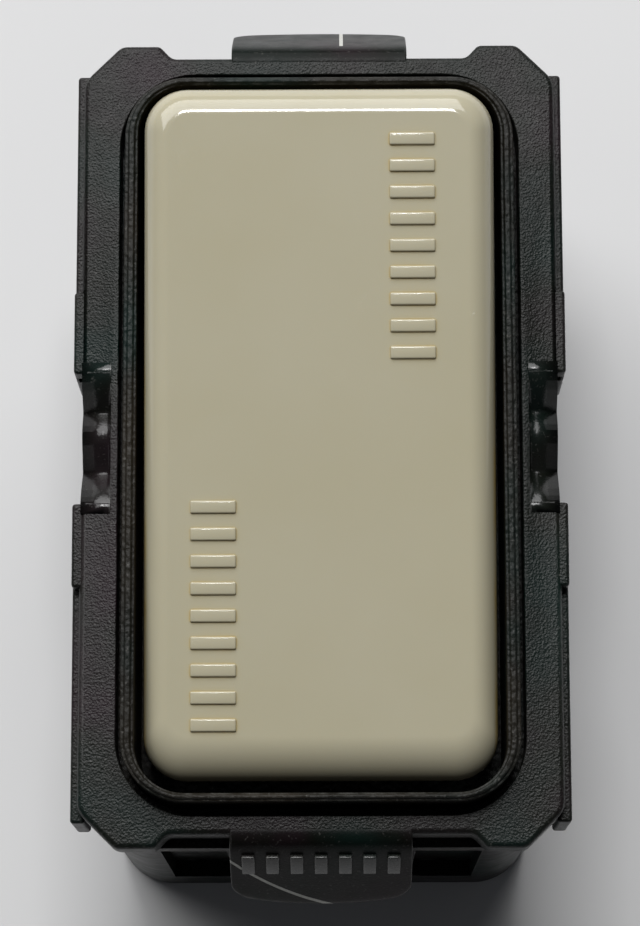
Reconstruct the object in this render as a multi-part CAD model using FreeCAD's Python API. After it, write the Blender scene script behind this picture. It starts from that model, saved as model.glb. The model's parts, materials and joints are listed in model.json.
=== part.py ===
import FreeCAD, Part
import os

# Rocker wall switch, one module wide. Millimetres. Z = 0 is the rear face, +Z points out of the front,
# and +Y is the end of the rocker that stands up at rest. X and Y are centred on the module.

Vector = FreeCAD.Vector
axis_x = Vector(1, 0, 0)
axis_z = Vector(0, 0, 1)

# Levels along Z
rear_wall = 2.2
well_floor = 18.0
well_rim = 20.4
flange_bottom = 22.0
flange_top = 24.2
collar_top = 25.7
pivot_z = 23.4
rocker_face = 26.5

# Rear housing
housing_half_x = 11.05
housing_half_y = 19.7
housing_corner = 3.0
housing_wall = 1.4

# Front frame
flange_half_x = 11.62
ledge_half_x = 12.0
ledge_half_y = 18.6
ledge_inner_x = 11.3
ledge_bottom = 18.6
ledge_corner = 0.5
ear_y = 19.9
ear_outer_x = 9.8
ear_inner_x = 7.89
recess_half_x = 7.29
recess_y = 19.25
chamfer_y = 18.1
window_half_x = 9.8
window_half_y = 18.35
window_corner = 3.7
tongue_half_x = 4.37
tongue_tip_y = 22.2
tongue_tip_z = 18.8
block_inner_y = 3.22
block_outer_y = 7.32
valley_y = 1.47
notch_rim = 0.35
pocket_outer_x = 7.8
pocket_depth = 0.9
pocket_bottom = 5.0

# Rocker well and its collar
collar_half_x = 9.5
collar_half_y = 17.8
collar_corner = 3.0
well_half_x = 8.86
well_half_y = 17.4
well_corner = 2.4
slot_half_x = 3.7
slot_half_y = 4.6
post_inner_x = 5.8
post_outer_x = 7.1
post_half_y = 1.4

# Rocker cap, yoke and axle
tilt_at_rest = 5.75
cap_half_x = 8.5
cap_half_y = 16.8
cap_centre_y = 0.25
cap_corner = 2.1
cap_skirt_z = 21.4
cap_wall = 1.2
cap_roof = 1.4
cap_edge_round = 1.3
mark_count = 9
mark_pitch = 1.3
mark_length = 2.2
mark_width = 0.55
mark_height = 0.12
axle_radius = 0.9
axle_half_length = 7.2
axle_fit = 0.01
running_gap = 0.05
yoke_radius = 3.0
yoke_bottom = 14.5
spring_bore = 1.75
spring_seat_z = 21.4

# Plunger and spring
plunger_radius = 1.68
plunger_tip_z = 11.4
plunger_top_z = 17.4
spring_mean_radius = 1.2
spring_wire = 0.4
spring_turns = 6

# Contact lever, which rocks on the fulcrum ridge
fulcrum_z = 9.8
fulcrum_radius = 0.6
lever_tilt = 10.0
lever_half_y = 8.8
lever_half_x = 1.9
lever_thickness = 0.8
contact_y = 7.4
contact_radius = 1.5
contact_head = 0.7

# Screw terminals
cage_y = 13.9
cage_half_y = 4.1
cage_bottom = rear_wall
cage_top = 8.0
cage_wall = 0.9
thread_wall = 2.2
tunnel_half_x = 2.3
wire_x = -0.4
wire_pitch = 3.8
wire_radius = 1.6
screw_z = 5.1
screw_radius = 1.5
screw_head_radius = 2.6
screw_head_height = 2.0
screw_head_x = 8.3
plate_thickness = 0.8
screw_hole_radius = 2.9
strip_half_x = 2.2
strip_thickness = 1.0
common_strip_z = 5.8
line_strip_z = 6.5

# Insulating barrier between the contacts and the line terminal
barrier_y = -10.9
barrier_thickness = 0.8

# Fastening rivets that hold frame, well and housing together
rivet_radius = 0.7
rivet_flare = 0.2
rivet_head_radius = 1.3
rivet_head_height = 0.7
rivet_x = 8.85
rivet_y = 17.35


def block(x0, x1, y0, y1, z0, z1):
    return Part.makeBox(x1 - x0, y1 - y0, z1 - z0, Vector(x0, y0, z0))


def rod(radius, start, end):
    start = Vector(*start)
    run = Vector(*end) - start
    return Part.makeCylinder(radius, run.Length, start, run)


def rounded_block(half_x, half_y, corner, z0, z1):
    solid = block(-half_x, half_x, -half_y, half_y, z0, z1)
    upright = [e for e in solid.Edges if abs(e.tangentAt(e.FirstParameter).z) > 0.99]
    return solid.makeFillet(corner, upright)


def plate_outline(points, z0, z1):
    corners = [Vector(x, y, z0) for x, y in points]
    face = Part.Face(Part.makePolygon(corners + corners[:1]))
    return face.extrude(Vector(0, 0, z1 - z0))


def side_profile(points, x0, x1):
    """A (y, z) outline pushed along X."""
    corners = [Vector(x0, y, z) for y, z in points]
    face = Part.Face(Part.makePolygon(corners + corners[:1]))
    return face.extrude(Vector(x1 - x0, 0, 0))


def join(shapes):
    return shapes[0].multiFuse(shapes[1:]).removeSplitter()


def turned(shape, degrees, y, z):
    """The shape turned about an axis along X through (y, z)."""
    copy = shape.copy()
    copy.rotate(Vector(0, y, z), axis_x, degrees)
    return copy


def flipped_x(shape):
    return shape.mirror(Vector(0, 0, 0), Vector(1, 0, 0))


def flipped_y(shape):
    return shape.mirror(Vector(0, 0, 0), Vector(0, 1, 0))


def both_ends(shape):
    return [shape, flipped_y(shape)]


def both_sides(shape):
    return [shape, flipped_x(shape)]


def half_turn(shape):
    copy = shape.copy()
    copy.rotate(Vector(0, 0, 0), axis_z, 180)
    return copy


def flange_outline():
    quarter = [
        (flange_half_x, chamfer_y),
        (ear_outer_x, ear_y),
        (ear_inner_x, ear_y),
        (recess_half_x, recess_y),
    ]
    upper = quarter + [(-x, y) for x, y in reversed(quarter)]
    return upper + [(-x, -y) for x, y in upper]


def snap_tongue():
    """Springy tongue at the +Y end: it leaves the flange's edge and slopes outwards to a lip."""
    slope = side_profile(
        [
            (recess_y - 1.0, flange_top - 0.15),
            (19.75, flange_top - 0.4),
            (tongue_tip_y - 0.25, tongue_tip_z + 0.6),
            (tongue_tip_y, tongue_tip_z + 0.1),
            (tongue_tip_y - 0.15, tongue_tip_z),
            (21.0, tongue_tip_z),
            (20.2, flange_bottom - 0.4),
            (19.9, flange_bottom),
            (recess_y - 1.0, flange_bottom),
        ],
        -tongue_half_x,
        tongue_half_x,
    )
    plan = rounded_block(tongue_half_x, tongue_tip_y, 0.9, tongue_tip_z - 1, flange_top + 1)
    return slope.common(plan)


def notch_cutter():
    """Two valleys with a low ridge between, across the flange on the +X side, and a gap in its ledge."""
    half_w = [
        (0.0, flange_top - 0.55),
        (0.35, flange_top - 0.65),
        (valley_y, flange_top - 1.45),
        (2.35, flange_top - 0.5),
        (block_inner_y, flange_top),
    ]
    points = [(-y, z) for y, z in reversed(half_w[1:])] + half_w
    points += [(block_inner_y, flange_top + 1), (-block_inner_y, flange_top + 1)]
    dip = side_profile(points, window_half_x + notch_rim, flange_half_x + 1)
    gap = block(flange_half_x, ledge_half_x + 1, -block_inner_y, block_inner_y, ledge_bottom - 1, flange_top)
    return dip.fuse(gap)


def make_front_frame():
    plate = plate_outline(flange_outline(), flange_bottom, flange_top)
    rim = [e for e in plate.Edges if abs(e.CenterOfMass.z - flange_top) < 0.01]
    plate = plate.makeFillet(0.25, rim)
    skirt = block(ledge_inner_x, ledge_half_x, -ledge_half_y, ledge_half_y, ledge_bottom, flange_top - 1.0)
    upright = [e for e in skirt.Edges if abs(e.tangentAt(e.FirstParameter).z) > 0.99]
    outer_corners = [e for e in upright if e.CenterOfMass.x > ledge_half_x - 0.01]
    skirt = skirt.makeFillet(ledge_corner, outer_corners)
    lug = block(ledge_inner_x, ledge_half_x, block_inner_y, block_outer_y, flange_bottom, flange_top - 0.3)
    sides = []
    for piece in both_ends(lug) + [skirt]:
        sides += both_sides(piece)
    frame = join([plate] + sides + both_ends(snap_tongue()))
    window = rounded_block(window_half_x, window_half_y, window_corner, flange_bottom - 1, flange_top + 1)
    frame = frame.cut(window)
    for cutter in both_sides(notch_cutter()):
        frame = frame.cut(cutter)
    return frame


def make_rocker_well():
    rim = rounded_block(housing_half_x - 0.05, housing_half_y, housing_corner, well_rim, flange_bottom)
    tray = rounded_block(collar_half_x, collar_half_y, collar_corner, well_floor, collar_top)
    lip = [e for e in tray.Edges if abs(e.BoundBox.ZMin - collar_top) < 0.01]
    tray = tray.makeFillet(0.25, lip)
    well = join([rim, tray])
    inside = rounded_block(well_half_x, well_half_y, well_corner, well_floor + 1.0, collar_top + 1)
    well = well.cut(inside)
    slot = block(-slot_half_x, slot_half_x, -slot_half_y, slot_half_y, well_floor - 1, well_floor + 2)
    well = well.cut(slot)
    upright = block(post_inner_x, post_outer_x, -post_half_y, post_half_y, well_floor + 0.5, pivot_z)
    eye = rod(post_half_y, (post_inner_x, 0, pivot_z), (post_outer_x, 0, pivot_z))
    well = join([well] + both_sides(join([upright, eye])))
    bore_end = post_outer_x + 0.5
    well = well.cut(rod(axle_radius + axle_fit, (-bore_end, 0, pivot_z), (bore_end, 0, pivot_z)))
    holes = rivet_places(rivet_radius + 0.05, well_floor - 1, flange_bottom + 1)
    holes += rivet_places(rivet_radius + rivet_flare + 0.05, flange_bottom - 0.5, flange_bottom + 1)
    for cutter in holes + end_pockets():
        well = well.cut(cutter)
    return well


def rivet_places(radius, z0, z1):
    """Two upright cylinders at opposite corners of the module."""
    one = rod(radius, (rivet_x, -rivet_y, z0), (rivet_x, -rivet_y, z1))
    return [one, half_turn(one)]


def end_pockets():
    """Recesses in the end walls, one on each side of each snap tongue."""
    inner_y = housing_half_y - pocket_depth
    pocket = block(
        tongue_half_x + 0.2, pocket_outer_x, inner_y, housing_half_y + 1, pocket_bottom, flange_bottom + 1
    )
    pockets = []
    for piece in both_sides(pocket):
        pockets += both_ends(piece)
    return pockets


def wire_places(radius, z0, z1):
    """Four upright cylinders: two wires side by side at each terminal."""
    places = []
    for step in (-0.5, 0.5):
        y = cage_y + step * wire_pitch
        one = rod(radius, (wire_x, y, z0), (wire_x, y, z1))
        places += [one, half_turn(one)]
    return places


def make_rear_housing():
    outer = rounded_block(housing_half_x, housing_half_y, housing_corner, 0, well_rim)
    rear = [e for e in outer.Edges if e.BoundBox.ZMax < 0.01]
    outer = outer.makeFillet(0.6, rear)
    cavity = rounded_block(
        housing_half_x - housing_wall,
        housing_half_y - housing_wall,
        housing_corner - housing_wall,
        rear_wall,
        well_rim + 1,
    )
    inside = [piece.common(outer) for piece in rivet_places(2.0, 0, well_rim)]
    inside.append(block(-2.6, 2.6, -2.6, 2.6, rear_wall - 0.5, common_strip_z))
    inside.append(block(-2.6, 2.6, -9.3, -5.8, rear_wall - 0.5, line_strip_z))
    guide = block(5.2, 6.4, -cage_y - cage_half_y, -cage_y + cage_half_y, rear_wall - 0.5, 4.0)
    inside += [guide, half_turn(guide)]
    for y0 in (barrier_y - 0.5, barrier_y + barrier_thickness + 0.05):
        groove_side = block(9.0, 10.0, y0, y0 + 0.45, rear_wall - 0.5, well_floor - 0.2)
        inside += both_sides(groove_side)
    shell = join([outer.cut(cavity)] + inside)
    cuts = end_pockets() + wire_places(wire_radius, -1, rear_wall + 1)
    for funnel in wire_places(1, 0, 1):
        centre = funnel.CenterOfMass
        cuts.append(Part.makeCone(1.85, wire_radius, 0.25, Vector(centre.x, centre.y, 0)))
    screw_hole = rod(screw_hole_radius, (6, cage_y, screw_z), (13, cage_y, screw_z))
    cuts += [screw_hole, half_turn(screw_hole)]
    cuts += rivet_places(rivet_radius + 0.05, -1, well_rim + 1)
    cuts += rivet_places(rivet_head_radius + 0.15, -1, 1.0)
    tray = rounded_block(collar_half_x + 0.1, collar_half_y + 0.1, collar_corner, well_floor, well_rim + 1)
    cuts.append(tray)
    cuts.append(rod(1.2, (0, -contact_y, line_strip_z - 0.8), (0, -contact_y, line_strip_z + 1)))
    for cutter in cuts:
        shell = shell.cut(cutter)
    return shell


def make_rivets():
    rivets = []
    for shank, head, flare in zip(
        rivet_places(rivet_radius, 1.0, flange_bottom - 0.1),
        rivet_places(rivet_head_radius, 1.0 - rivet_head_height, 1.0),
        rivet_places(rivet_radius + rivet_flare, flange_bottom - 0.45, flange_bottom - 0.1),
    ):
        rim = [e for e in head.Edges if e.BoundBox.ZMax < 1.0 - rivet_head_height + 0.01]
        rivets.append(join([shank, head.makeFillet(0.4, rim), flare]))
    return Part.makeCompound(rivets)


def grip_ribs(x, y):
    """A plain row of raised ribs along Y, centred on (x, y), on the rocker's face."""
    ribs = []
    for i in range(mark_count):
        low_y = y + (i - (mark_count - 1) / 2) * mark_pitch - mark_width / 2
        low_x = x - mark_length / 2
        top = rocker_face + mark_height
        ribs.append(block(low_x, low_x + mark_length, low_y, low_y + mark_width, rocker_face - 0.2, top))
    return ribs


def cap_block(inset, corner, z0, z1):
    """Rounded block in the cap's outline, drawn in by the inset."""
    solid = rounded_block(cap_half_x - inset, cap_half_y - inset, corner, z0, z1)
    solid.translate(Vector(0, cap_centre_y, 0))
    return solid


def make_rocker_cap():
    cap = cap_block(0, cap_corner, cap_skirt_z, rocker_face)
    face_edges = [e for e in cap.Edges if e.BoundBox.ZMin > rocker_face - 0.01]
    cap = cap.makeFillet(cap_edge_round, face_edges)
    cap = cap.cut(cap_block(cap_wall, 0.9, cap_skirt_z - 1, rocker_face - cap_roof))
    rib = block(3.6, 5.3, -2.2, 2.2, pivot_z - 1.7, rocker_face - cap_roof + 0.2)
    cap = join([cap] + both_sides(rib) + grip_ribs(4.5, 9.1) + grip_ribs(-5.1, -8.7))
    cap = cap.cut(rod(axle_radius + running_gap, (-6, 0, pivot_z), (6, 0, pivot_z)))
    return turned(cap, tilt_at_rest, 0, pivot_z)


def make_rocker_yoke():
    barrel = rod(yoke_radius, (0, 0, yoke_bottom), (0, 0, pivot_z))
    saddle = block(-3.2, 3.2, -3.6, 3.6, 21.0, rocker_face - cap_roof)
    yoke = join([barrel, saddle])
    yoke = yoke.cut(rod(spring_bore, (0, 0, yoke_bottom - 1), (0, 0, spring_seat_z)))
    yoke = yoke.cut(rod(axle_radius + running_gap, (-6, 0, pivot_z), (6, 0, pivot_z)))
    return turned(yoke, tilt_at_rest, 0, pivot_z)


def make_axle():
    axle = rod(axle_radius, (-axle_half_length, 0, pivot_z), (axle_half_length, 0, pivot_z))
    ends = [e for e in axle.Edges if abs(abs(e.CenterOfMass.x) - axle_half_length) < 0.01]
    return axle.makeChamfer(0.15, ends)


def make_plunger():
    tip_radius = 1.0
    stem = rod(tip_radius, (0, 0, plunger_tip_z + tip_radius), (0, 0, 14.9))
    tip = Part.makeSphere(tip_radius, Vector(0, 0, plunger_tip_z + tip_radius))
    guide = rod(plunger_radius, (0, 0, 14.7), (0, 0, plunger_top_z))
    spigot = rod(0.8, (0, 0, plunger_top_z - 0.2), (0, 0, plunger_top_z + 1.2))
    return turned(join([stem, tip, guide, spigot]), tilt_at_rest, 0, pivot_z)


def make_plunger_spring():
    low = plunger_top_z + spring_wire / 2
    height = spring_seat_z - plunger_top_z - spring_wire
    helix = Part.makeHelix(height / spring_turns, height, spring_mean_radius)
    start = Vector(spring_mean_radius, 0, 0)
    section = Part.Wire(Part.makeCircle(spring_wire / 2, start, Vector(0, 1, 0)))
    coil = Part.Wire(helix).makePipeShell([section], True, True)
    coil.translate(Vector(0, 0, low))
    return turned(coil, tilt_at_rest, 0, pivot_z)


def make_contact_lever():
    under = fulcrum_z + fulcrum_radius + running_gap
    plate = rounded_block(lever_half_x, lever_half_y, 0.6, under, under + lever_thickness)
    cheek = block(1.6, lever_half_x, -1.2, 1.2, fulcrum_z - 0.8, under + 0.2)
    lever = join([plate] + both_sides(cheek))
    lever = lever.cut(rod(0.72, (0, -contact_y, under - 1), (0, -contact_y, under + 2)))
    return turned(lever, -lever_tilt, 0, fulcrum_z)


def make_moving_contact():
    under = fulcrum_z + fulcrum_radius + running_gap
    top = under + lever_thickness
    head = rod(contact_radius, (0, -contact_y, under - contact_head), (0, -contact_y, under))
    shank = rod(0.7, (0, -contact_y, under - 0.1), (0, -contact_y, top))
    upset = rod(1.0, (0, -contact_y, top), (0, -contact_y, top + 0.25))
    return turned(join([head, shank, upset]), -lever_tilt, 0, fulcrum_z)


def make_fixed_contact():
    top = line_strip_z + strip_thickness
    ball = Part.makeSphere(4.0, Vector(0, -contact_y, top + contact_head + 0.05 - 4.0))
    head = rod(contact_radius, (0, -contact_y, top), (0, -contact_y, top + 2)).common(ball)
    shank = rod(0.7, (0, -contact_y, line_strip_z - 0.1), (0, -contact_y, top + 0.1))
    upset = rod(1.0, (0, -contact_y, line_strip_z - 0.4), (0, -contact_y, line_strip_z))
    return join([head, shank, upset])


def make_common_terminal():
    strip_end = cage_y - cage_half_y
    strip = block(
        -strip_half_x, strip_half_x, -2.4, strip_end, common_strip_z, common_strip_z + strip_thickness
    )
    post = side_profile(
        [
            (-0.9, common_strip_z + 0.5),
            (0.9, common_strip_z + 0.5),
            (0.9, fulcrum_z - 1.6),
            (0.45, fulcrum_z),
            (-0.45, fulcrum_z),
            (-0.9, fulcrum_z - 1.6),
        ],
        -1.5,
        1.5,
    )
    ridge = rod(fulcrum_radius, (-1.5, 0, fulcrum_z), (1.5, 0, fulcrum_z))
    return join([strip, post, ridge])


def make_line_terminal():
    strip_end = cage_half_y - cage_y
    strip = block(-strip_half_x, strip_half_x, strip_end, -5.6, line_strip_z, line_strip_z + strip_thickness)
    return strip.cut(rod(0.72, (0, -contact_y, line_strip_z - 1), (0, -contact_y, line_strip_z + 2)))


def make_cage():
    """Box clamp of the common terminal, with a tapped wall on its +X side."""
    outer = block(
        -tunnel_half_x - cage_wall,
        tunnel_half_x + thread_wall,
        cage_y - cage_half_y,
        cage_y + cage_half_y,
        cage_bottom,
        cage_top,
    )
    tunnel = block(
        -tunnel_half_x,
        tunnel_half_x,
        cage_y - cage_half_y + cage_wall,
        cage_y + cage_half_y - cage_wall,
        cage_bottom - 1,
        cage_top + 1,
    )
    tapping = rod(screw_radius + running_gap, (0, cage_y, screw_z), (8, cage_y, screw_z))
    return outer.cut(tunnel).cut(tapping)


def make_clamp_plate():
    face = tunnel_half_x - running_gap
    half_y = cage_half_y - cage_wall - 0.1
    low_y = cage_y - half_y
    high_y = cage_y + half_y
    return block(face - plate_thickness, face, low_y, high_y, cage_bottom + 0.2, cage_top - 0.2)


def make_clamp_screw():
    end = screw_head_x + screw_head_height
    shank = rod(screw_radius, (tunnel_half_x, cage_y, screw_z), (screw_head_x, cage_y, screw_z))
    head = rod(screw_head_radius, (screw_head_x, cage_y, screw_z), (end, cage_y, screw_z))
    rim = [e for e in head.Edges if abs(e.CenterOfMass.x - end) < 0.01]
    screw = join([shank, head.makeFillet(0.3, rim)])
    slot = block(end - 1.1, end + 1, cage_y - 3, cage_y + 3, screw_z - 0.4, screw_z + 0.4)
    cross = block(end - 1.1, end + 1, cage_y - 0.4, cage_y + 0.4, screw_z - 1.5, screw_z + 1.5)
    return screw.cut(slot).cut(cross)


def make_arc_barrier():
    half_x = housing_half_x - housing_wall - 0.1
    return block(-half_x, half_x, barrier_y, barrier_y + barrier_thickness, cage_top + 0.3, well_floor - 0.1)


def make_nodes():
    return {
        "front_frame": make_front_frame(),
        "rocker_well": make_rocker_well(),
        "rear_housing": make_rear_housing(),
        "assembly_rivets": make_rivets(),
        "rocker_cap": make_rocker_cap(),
        "rocker_yoke": make_rocker_yoke(),
        "rocker_axle": make_axle(),
        "plunger": make_plunger(),
        "plunger_spring": make_plunger_spring(),
        "contact_lever": make_contact_lever(),
        "moving_contact": make_moving_contact(),
        "fixed_contact": make_fixed_contact(),
        "common_terminal": make_common_terminal(),
        "line_terminal": make_line_terminal(),
        "common_cage": make_cage(),
        "line_cage": half_turn(make_cage()),
        "common_clamp_plate": make_clamp_plate(),
        "line_clamp_plate": half_turn(make_clamp_plate()),
        "common_screw": make_clamp_screw(),
        "line_screw": half_turn(make_clamp_screw()),
        "arc_barrier": make_arc_barrier(),
    }


os.makedirs("parts", exist_ok=True)
for name, shape in make_nodes().items():
    shape.exportStep("parts/" + name + ".step")
    print(name, round(shape.Volume, 2), "valid" if shape.isValid() else "NOT VALID", len(shape.Solids))
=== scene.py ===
import json
import math

import bmesh
import bpy
from mathutils import Matrix, Vector


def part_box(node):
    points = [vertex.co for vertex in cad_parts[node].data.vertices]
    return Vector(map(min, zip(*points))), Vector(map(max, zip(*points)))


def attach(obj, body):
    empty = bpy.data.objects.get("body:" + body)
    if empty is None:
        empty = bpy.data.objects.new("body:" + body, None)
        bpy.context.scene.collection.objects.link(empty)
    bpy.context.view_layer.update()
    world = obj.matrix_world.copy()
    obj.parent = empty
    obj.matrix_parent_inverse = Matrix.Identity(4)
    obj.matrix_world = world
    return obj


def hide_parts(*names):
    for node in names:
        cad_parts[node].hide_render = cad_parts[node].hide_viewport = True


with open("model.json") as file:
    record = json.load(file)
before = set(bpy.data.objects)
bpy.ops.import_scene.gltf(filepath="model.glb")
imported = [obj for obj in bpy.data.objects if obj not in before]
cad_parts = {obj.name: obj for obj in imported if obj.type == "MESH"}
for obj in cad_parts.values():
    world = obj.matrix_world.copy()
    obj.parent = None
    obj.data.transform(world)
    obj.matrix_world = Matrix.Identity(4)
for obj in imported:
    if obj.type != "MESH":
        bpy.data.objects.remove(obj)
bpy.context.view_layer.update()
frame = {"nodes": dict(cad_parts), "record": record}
mm = 0.001

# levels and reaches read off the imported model
jointByName = {joint["name"]: joint for joint in frame["record"]["behaviour"]["joints"]}
pivot = Vector(jointByName["rocker_tilt"]["pos_m"])
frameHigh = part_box("front_frame")[1]
wellLow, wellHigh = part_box("rocker_well")
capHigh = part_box("rocker_cap")[1]
flangeTop = frameHigh.z
collarHeight = 3.7 * mm
flangeBottom = wellHigh.z - collarHeight
black = (0, 0, 0, 1)
white = (1, 1, 1, 1)
tiny = 1e-6


def emptyMaterial(name):
    material = bpy.data.materials.new(name)
    material.use_nodes = True
    material.node_tree.nodes.clear()
    return material, material.node_tree.nodes, material.node_tree.links


def setStops(ramp, *stops):
    for stop, (position, color) in zip(ramp.color_ramp.elements, stops):
        stop.position = position
        stop.color = color


def ivoryPlastic(name, look):
    material, nodes, links = emptyMaterial(name)

    place = nodes.new("NodeFrame")
    place.label = "place in millimetres"
    coords = nodes.new("ShaderNodeTexCoord")
    coords.label = "moulding's own coordinates"
    coords.location = (-1500, 200)
    coords.parent = place
    inMillimetres = nodes.new("ShaderNodeMapping")
    inMillimetres.label = "one unit is a millimetre"
    inMillimetres.location = (-1300, 200)
    inMillimetres.inputs["Scale"].default_value = (1000, 1000, 1000)
    inMillimetres.parent = place
    links.new(coords.outputs["Object"], inMillimetres.inputs["Vector"])

    ageing = nodes.new("NodeFrame")
    ageing.label = "uneven ageing of the ivory"
    ageNoise = nodes.new("ShaderNodeTexNoise")
    ageNoise.label = "broad yellowing"
    ageNoise.location = (-1000, 500)
    ageNoise.inputs["Scale"].default_value = 0.09
    ageNoise.inputs["Detail"].default_value = 3
    ageNoise.parent = ageing
    ageColors = nodes.new("ShaderNodeValToRGB")
    ageColors.label = "fresh to yellowed"
    ageColors.location = (-780, 500)
    setStops(ageColors, (0.3, look["freshColor"]), (0.75, look["agedColor"]))
    ageColors.parent = ageing
    links.new(inMillimetres.outputs["Vector"], ageNoise.inputs["Vector"])
    links.new(ageNoise.outputs["Fac"], ageColors.inputs["Fac"])

    # painted shade: an ambient occlusion mask darkens the ivory towards a yellowed stain colour in the
    # inner corners beside the raised ribs, broken into patches
    paintedShadeAndStain = nodes.new("NodeFrame")
    paintedShadeAndStain.label = "old stain held beside the raised ribs"
    crevice = nodes.new("ShaderNodeAmbientOcclusion")
    crevice.label = "inner corners"
    crevice.location = (-1000, 150)
    crevice.samples = 12
    crevice.inputs["Distance"].default_value = look["paintedShadeAndStainReach"]
    crevice.parent = paintedShadeAndStain
    creviceRamp = nodes.new("ShaderNodeValToRGB")
    creviceRamp.label = "how far the stain spreads"
    creviceRamp.location = (-780, 150)
    setStops(creviceRamp, (0.6, white), (0.97, black))
    creviceRamp.parent = paintedShadeAndStain
    patchNoise = nodes.new("ShaderNodeTexNoise")
    patchNoise.label = "stain comes in patches"
    patchNoise.location = (-1000, -80)
    patchNoise.inputs["Scale"].default_value = 0.4
    patchNoise.inputs["Detail"].default_value = 2
    patchNoise.parent = paintedShadeAndStain
    patchRamp = nodes.new("ShaderNodeValToRGB")
    patchRamp.label = "patch edges"
    patchRamp.location = (-780, -80)
    setStops(patchRamp, (0.3, (0.25, 0.25, 0.25, 1)), (0.65, white))
    patchRamp.parent = paintedShadeAndStain
    paintedShadeAndStainAmount = nodes.new("ShaderNodeMath")
    paintedShadeAndStainAmount.label = "stain amount"
    paintedShadeAndStainAmount.operation = "MULTIPLY"
    paintedShadeAndStainAmount.location = (-500, 100)
    paintedShadeAndStainAmount.parent = paintedShadeAndStain
    paintedShadeAndStainMix = nodes.new("ShaderNodeMix")
    paintedShadeAndStainMix.label = "stain over ivory"
    paintedShadeAndStainMix.data_type = "RGBA"
    paintedShadeAndStainMix.location = (-250, 400)
    paintedShadeAndStainMix.inputs["B"].default_value = look["paintedShadeAndStainColor"]
    paintedShadeAndStainMix.parent = paintedShadeAndStain
    links.new(crevice.outputs["AO"], creviceRamp.inputs["Fac"])
    links.new(inMillimetres.outputs["Vector"], patchNoise.inputs["Vector"])
    links.new(patchNoise.outputs["Fac"], patchRamp.inputs["Fac"])
    links.new(creviceRamp.outputs["Color"], paintedShadeAndStainAmount.inputs[0])
    links.new(patchRamp.outputs["Color"], paintedShadeAndStainAmount.inputs[1])
    links.new(paintedShadeAndStainAmount.outputs["Value"], paintedShadeAndStainMix.inputs["Factor"])
    links.new(ageColors.outputs["Color"], paintedShadeAndStainMix.inputs["A"])

    specks = nodes.new("NodeFrame")
    specks.label = "a few dark specks"
    speckCells = nodes.new("ShaderNodeTexVoronoi")
    speckCells.label = "one speck to a cell"
    speckCells.location = (-1000, -320)
    speckCells.inputs["Scale"].default_value = look["speckScale"]
    speckCells.parent = specks
    speckRamp = nodes.new("ShaderNodeValToRGB")
    speckRamp.label = "speck size"
    speckRamp.location = (-780, -320)
    setStops(speckRamp, (look["speckSize"], white), (look["speckSize"] * 1.5, black))
    speckRamp.parent = specks
    speckMix = nodes.new("ShaderNodeMix")
    speckMix.label = "specks over ivory"
    speckMix.data_type = "RGBA"
    speckMix.location = (-30, 300)
    speckMix.inputs["B"].default_value = look["speckColor"]
    speckMix.parent = specks
    links.new(inMillimetres.outputs["Vector"], speckCells.inputs["Vector"])
    links.new(speckCells.outputs["Distance"], speckRamp.inputs["Fac"])
    links.new(speckRamp.outputs["Color"], speckMix.inputs["Factor"])
    links.new(paintedShadeAndStainMix.outputs["Result"], speckMix.inputs["A"])

    polish = nodes.new("NodeFrame")
    polish.label = "handled gloss and fine scratches"
    rubNoise = nodes.new("ShaderNodeTexNoise")
    rubNoise.label = "rubbed patches"
    rubNoise.location = (-1000, -560)
    rubNoise.inputs["Scale"].default_value = 0.25
    rubNoise.inputs["Detail"].default_value = 6
    rubNoise.parent = polish
    rubRange = nodes.new("ShaderNodeMapRange")
    rubRange.label = "gloss range"
    rubRange.location = (-780, -560)
    rubRange.inputs["To Min"].default_value = look["roughness"] - 0.05
    rubRange.inputs["To Max"].default_value = look["roughness"] + 0.07
    rubRange.parent = polish
    scratchNoise = nodes.new("ShaderNodeTexNoise")
    scratchNoise.label = "where hair scratches run"
    scratchNoise.location = (-1000, -800)
    scratchNoise.inputs["Scale"].default_value = 0.35
    scratchNoise.inputs["Detail"].default_value = 1.5
    scratchNoise.inputs["Distortion"].default_value = 1.2
    scratchNoise.parent = polish
    scratchLine = nodes.new("ShaderNodeMath")
    scratchLine.label = "thin line at one level"
    scratchLine.operation = "COMPARE"
    scratchLine.location = (-780, -800)
    scratchLine.inputs[1].default_value = 0.62
    scratchLine.inputs[2].default_value = 0.0012
    scratchLine.parent = polish
    links.new(inMillimetres.outputs["Vector"], rubNoise.inputs["Vector"])
    links.new(rubNoise.outputs["Fac"], rubRange.inputs["Value"])
    links.new(inMillimetres.outputs["Vector"], scratchNoise.inputs["Vector"])
    links.new(scratchNoise.outputs["Fac"], scratchLine.inputs[0])

    relief = nodes.new("NodeFrame")
    relief.label = "moulded surface"
    rippleNoise = nodes.new("ShaderNodeTexNoise")
    rippleNoise.label = "faint orange peel"
    rippleNoise.location = (-500, -560)
    rippleNoise.inputs["Scale"].default_value = 1.4
    rippleNoise.inputs["Detail"].default_value = 2
    rippleNoise.parent = relief
    rippleBump = nodes.new("ShaderNodeBump")
    rippleBump.label = "peel height"
    rippleBump.location = (-280, -560)
    rippleBump.inputs["Strength"].default_value = 0.3
    rippleBump.inputs["Distance"].default_value = 0.002 * mm
    rippleBump.parent = relief
    scratchBump = nodes.new("ShaderNodeBump")
    scratchBump.label = "scratch depth"
    scratchBump.invert = True
    scratchBump.location = (-60, -560)
    scratchBump.inputs["Strength"].default_value = 0.25
    scratchBump.inputs["Distance"].default_value = 0.01 * mm
    scratchBump.parent = relief
    links.new(inMillimetres.outputs["Vector"], rippleNoise.inputs["Vector"])
    links.new(rippleNoise.outputs["Fac"], rippleBump.inputs["Height"])
    links.new(scratchLine.outputs["Value"], scratchBump.inputs["Height"])
    links.new(rippleBump.outputs["Normal"], scratchBump.inputs["Normal"])

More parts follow.
